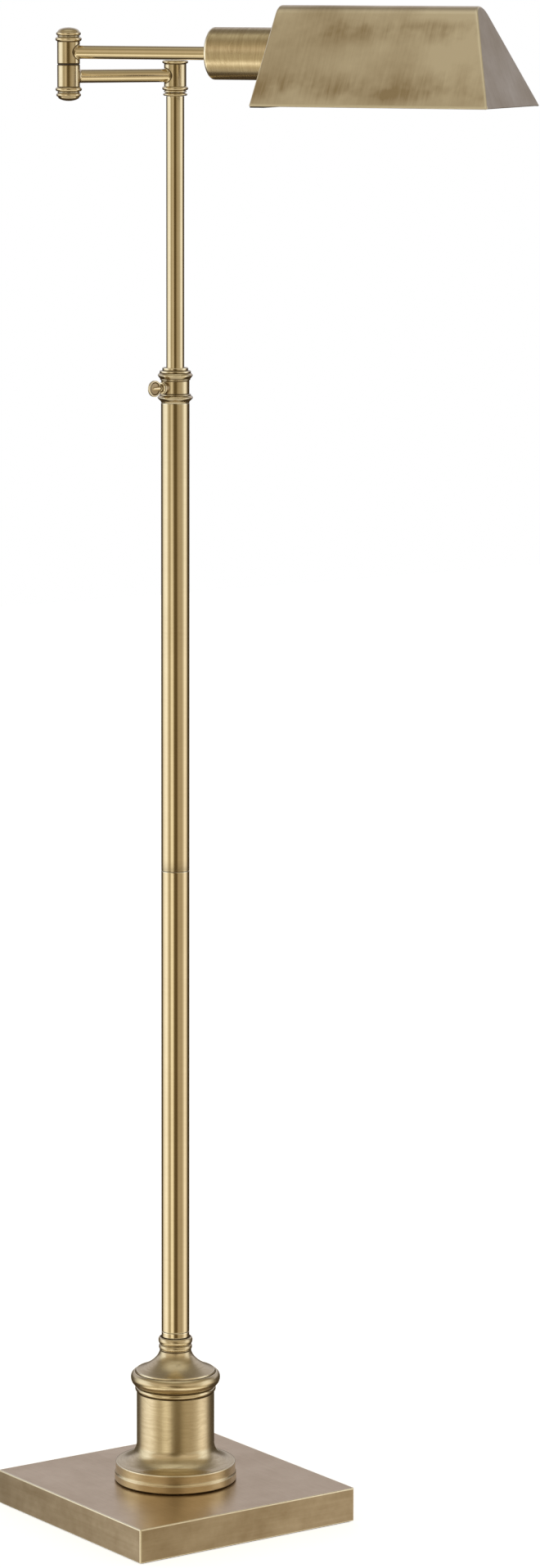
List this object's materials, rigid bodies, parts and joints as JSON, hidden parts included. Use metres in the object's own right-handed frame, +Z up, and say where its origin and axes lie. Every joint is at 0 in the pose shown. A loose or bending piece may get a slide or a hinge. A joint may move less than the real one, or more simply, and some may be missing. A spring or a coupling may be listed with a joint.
{
  "type": "pharmacy floor lamp",
  "caption": "Pharmacy floor lamp with a square weighted base, telescoping pole with thumbscrew, folding swing arms and a roof-shaped metal shade that rolls about its arm.",
  "frame": {"origin": "centre of the base's underside, on the pole's axis", "axes": "+Z up along the pole; X and Y along the square base's edges, with the lead's bushing on the +Y face"},
  "size_m": [0.2891, 0.4916, 1.3715],
  "materials": {
    "aged_brass": "brushed antique brass with dark patina",
    "cast_iron": "rough casting",
    "felt": "black felt pad",
    "black_plastic": "moulded black",
    "steel": "zinc plated",
    "nylon": "natural nylon",
    "bright_brass": "plain brass",
    "glass": "frosted",
    "wire_jacket": "gold PVC lead"
  },
  "bodies": {
    "stand": {"base_cover": "aged_brass", "base_weight": "cast_iron", "base_pad": "felt", "cord_bushing": "black_plastic", "base_nut": "steel", "tie_rod": "steel", "column_shell": "aged_brass", "column_ring": "aged_brass", "column_cap": "aged_brass", "pole_foot_ring": "aged_brass", "lower_pole_tube": "aged_brass", "pole_coupler": "steel", "upper_pole_tube": "aged_brass", "collar": "aged_brass", "clamp_pad": "nylon", "wire_base": "wire_jacket", "wire_column": "wire_jacket", "wire_slack": "wire_jacket"},
    "thumbscrew": {"thumbscrew": "aged_brass"},
    "mast": {"mast_tube": "aged_brass", "mast_guide": "nylon", "mast_collar": "aged_brass", "hub_stud": "steel", "hub_nut": "steel", "wire_mast": "wire_jacket"},
    "lower_arm": {"hub": "aged_brass", "hub_cap": "aged_brass", "lower_arm_tube": "aged_brass", "knuckle_lower": "aged_brass", "knuckle_finial_lower": "aged_brass", "knuckle_stud": "steel", "knuckle_nut_lower": "steel", "knuckle_nut_upper": "steel", "knuckle_washer": "nylon", "wire_lower_arm": "wire_jacket"},
    "upper_arm": {"knuckle_upper": "aged_brass", "knuckle_finial_upper": "aged_brass", "upper_arm_tube": "aged_brass", "swivel_nut": "steel", "wire_upper_arm": "wire_jacket"},
    "head": {"cup": "aged_brass", "cup_ring": "aged_brass", "shade_shell": "aged_brass", "shade_end_far": "aged_brass", "shade_end_socket": "aged_brass", "socket_body": "black_plastic", "socket_screw_shell": "bright_brass", "socket_contact": "bright_brass", "switch_bushing": "bright_brass", "bulb_cap": "steel", "bulb_glass": "glass", "wire_socket": "wire_jacket"},
    "switch": {"switch_knob": "black_plastic"}
  },
  "joints": [
    {"name": "thumbscrew_turn", "type": "hinge", "parent": "stand", "child": "thumbscrew", "pos_m": [0, 0, 1.034], "axis": [-0.9854, -0.1702, 0], "range_deg": [0, 270]},
    {"name": "mast_slide", "type": "slide", "parent": "stand", "child": "mast", "axis": [0, 0, 1], "range_m": [-0.238, 0], "deforming": ["wire_slack"]},
    {"name": "hub_swing", "type": "hinge", "parent": "mast", "child": "lower_arm", "pos_m": [0, 0, 1.309], "axis": [0, 0, 1], "range_deg": [-170, 170]},
    {"name": "knuckle_swing", "type": "hinge", "parent": "lower_arm", "child": "upper_arm", "pos_m": [-0.10433, 0.01189, 1.3195], "axis": [0, 0, 1], "range_deg": [-298, 41]},
    {"name": "head_roll", "type": "hinge", "parent": "upper_arm", "child": "head", "pos_m": [-0.10433, 0.01189, 1.33], "axis": [0.5344, -0.8453, 0], "range_deg": [-60, 60]},
    {"name": "switch_turn", "type": "hinge", "parent": "head", "child": "switch", "pos_m": [-0.00921, -0.13857, 1.33], "axis": [0.8453, 0.5344, 0], "continuous": true}
  ]
}
